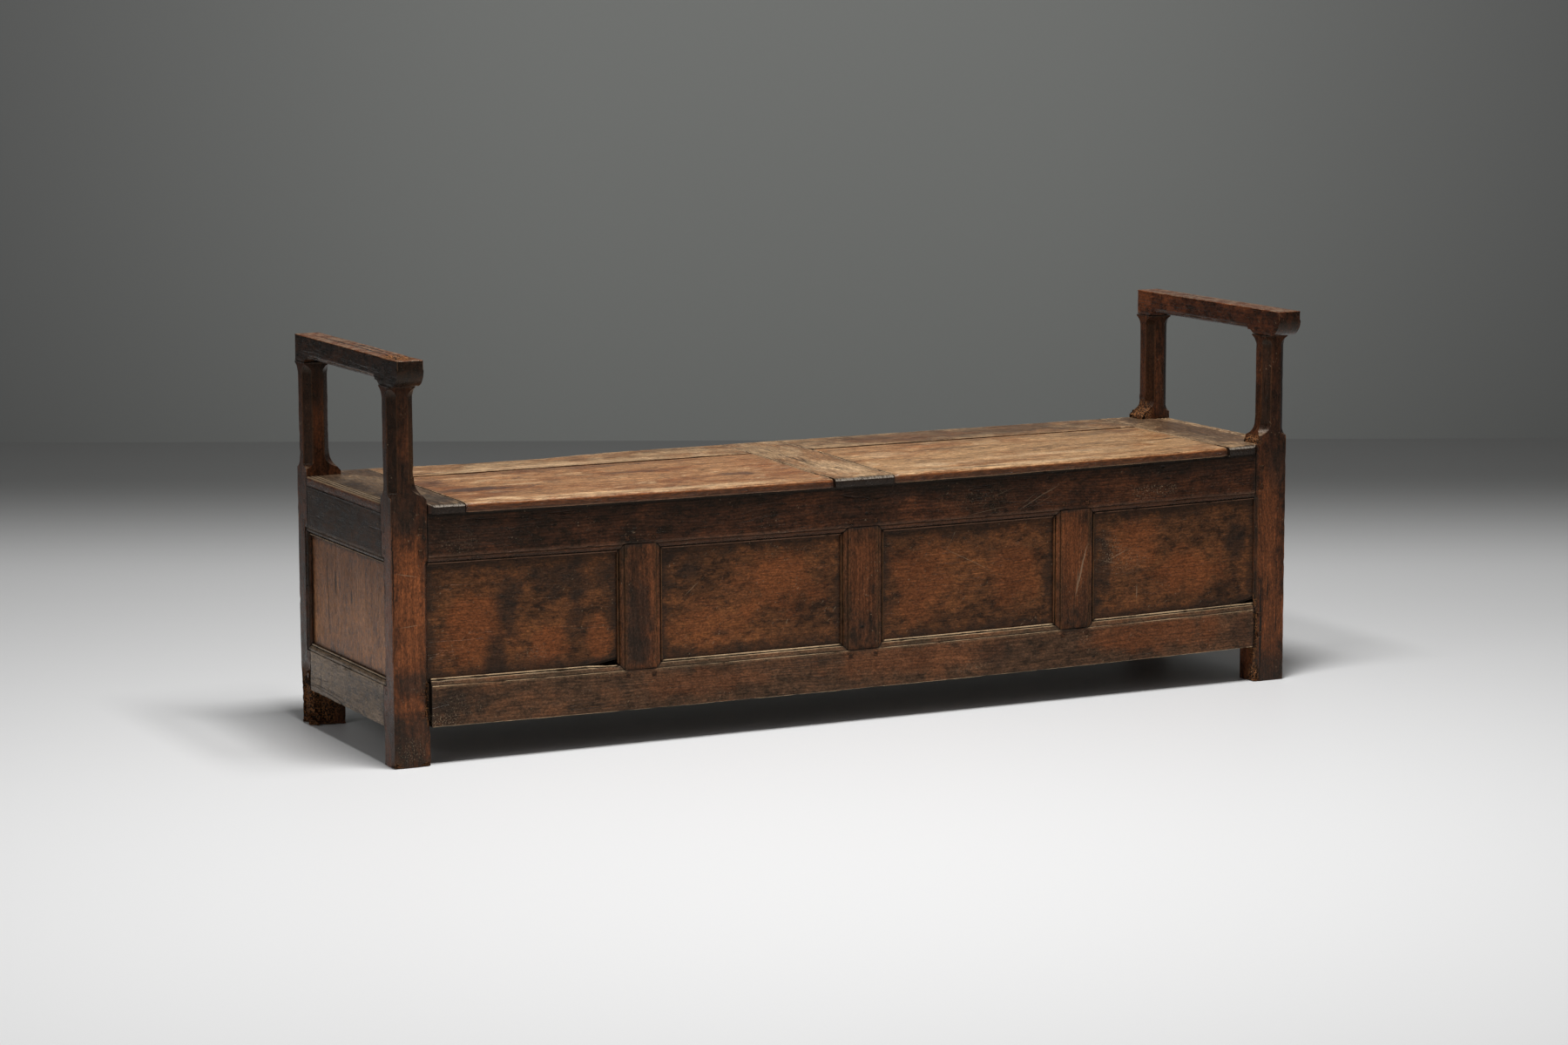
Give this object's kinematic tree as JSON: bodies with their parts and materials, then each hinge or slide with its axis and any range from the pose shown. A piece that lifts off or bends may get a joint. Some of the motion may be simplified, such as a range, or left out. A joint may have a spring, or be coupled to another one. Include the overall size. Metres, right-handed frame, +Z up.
{
  "type": "joined chest bench",
  "caption": "Long panelled oak bench with open arms, posts cut to octagons above the seat, and a chest under lifting seat lids on pin hinges.",
  "frame": {"origin": "middle of the footprint at floor level, under the middle of the overall box", "axes": "+X along the bench to its right end, +Y from front to back, +Z up"},
  "size_m": [1.94, 0.546, 0.761],
  "materials": {
    "frame_oak": "old dark waxed oak, worn at the edges",
    "panel_oak": "old dark waxed oak, redder in the field",
    "lid_oak": "oak worn pale and smooth by use",
    "seat_oak": "grey-brown waxed oak with dark ends",
    "floor_oak": "dry unpolished oak",
    "peg_oak": "dark riven oak",
    "iron": "dark forged iron"
  },
  "bodies": {
    "carcase": {"arm_left": "frame_oak", "arm_right": "frame_oak", "back_bottom_rail": "frame_oak", "back_muntin_centre": "frame_oak", "back_muntin_left": "frame_oak", "back_muntin_right": "frame_oak", "back_panel_1": "panel_oak", "back_panel_2": "panel_oak", "back_panel_3": "panel_oak", "back_panel_4": "panel_oak", "back_pegs": "peg_oak", "back_post_left": "frame_oak", "back_post_right": "frame_oak", "back_top_rail": "frame_oak", "bearer_nails": "iron", "floor_bearer_back": "floor_oak", "floor_bearer_front": "floor_oak", "floor_board_1": "floor_oak", "floor_board_2": "floor_oak", "floor_board_3": "floor_oak", "floor_board_4": "floor_oak", "floor_board_5": "floor_oak", "floor_board_6": "floor_oak", "floor_nails": "iron", "front_bottom_rail": "frame_oak", "front_muntin_centre": "frame_oak", "front_muntin_left": "frame_oak", "front_muntin_right": "frame_oak", "front_panel_1": "panel_oak", "front_panel_2": "panel_oak", "front_panel_3": "panel_oak", "front_panel_4": "panel_oak", "front_pegs": "peg_oak", "front_post_left": "frame_oak", "front_post_right": "frame_oak", "front_top_rail": "frame_oak", "left_end_bottom_rail": "frame_oak", "left_end_panel": "panel_oak", "left_end_pegs": "peg_oak", "left_end_top_rail": "frame_oak", "right_end_bottom_rail": "frame_oak", "right_end_panel": "panel_oak", "right_end_pegs": "peg_oak", "right_end_top_rail": "frame_oak", "seat_back_board_left": "seat_oak", "seat_back_board_right": "seat_oak", "seat_centre_board": "seat_oak", "seat_dowels": "peg_oak", "seat_end_board_left": "seat_oak", "seat_end_board_right": "seat_oak"},
    "left_lid": {"lid_left": "lid_oak", "lid_pivots_left": "iron"},
    "right_lid": {"lid_right": "lid_oak", "lid_pivots_right": "iron"}
  },
  "joints": [
    {"name": "left_lid_hinge", "type": "hinge", "parent": "carcase", "child": "left_lid", "pos_m": [-0.4455, 0.1181, 0.4805], "axis": [-1, 0, 0], "range_deg": [0, 104]},
    {"name": "right_lid_hinge", "type": "hinge", "parent": "carcase", "child": "right_lid", "pos_m": [0.4455, 0.1181, 0.4805], "axis": [-1, 0, 0], "range_deg": [0, 104]}
  ]
}
